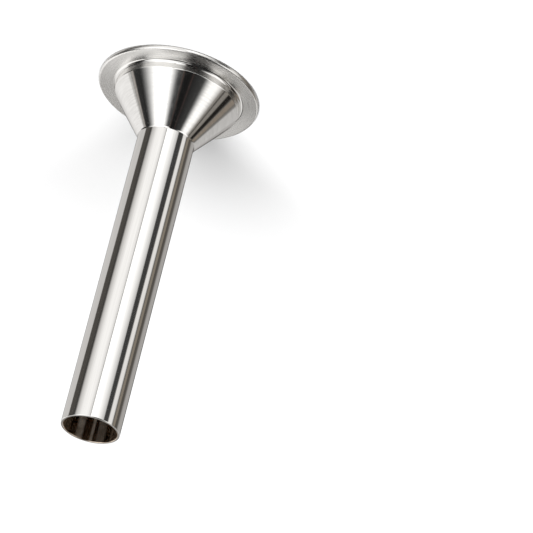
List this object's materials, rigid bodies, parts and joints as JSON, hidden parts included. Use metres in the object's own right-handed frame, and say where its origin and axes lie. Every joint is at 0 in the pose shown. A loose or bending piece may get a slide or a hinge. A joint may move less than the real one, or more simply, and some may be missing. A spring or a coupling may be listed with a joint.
{
  "type": "sausage stuffing tube",
  "caption": "Polished steel stuffing tube: a flat flange and short collar open into a cone that necks down to a long straight tube, for filling sausage casings from a meat grinder.",
  "frame": {"origin": "centre of the flange's back face, which the part stands on", "axes": "+Z along the axis, from the flange towards the free end of the tube; X and Y are equal"},
  "size_m": [0.1, 0.1, 0.236],
  "materials": {
    "polished_steel": "polished stainless steel with faint turning lines"
  },
  "bodies": {
    "root": {"stuffing_tube": "polished_steel"}
  },
  "joints": []
}
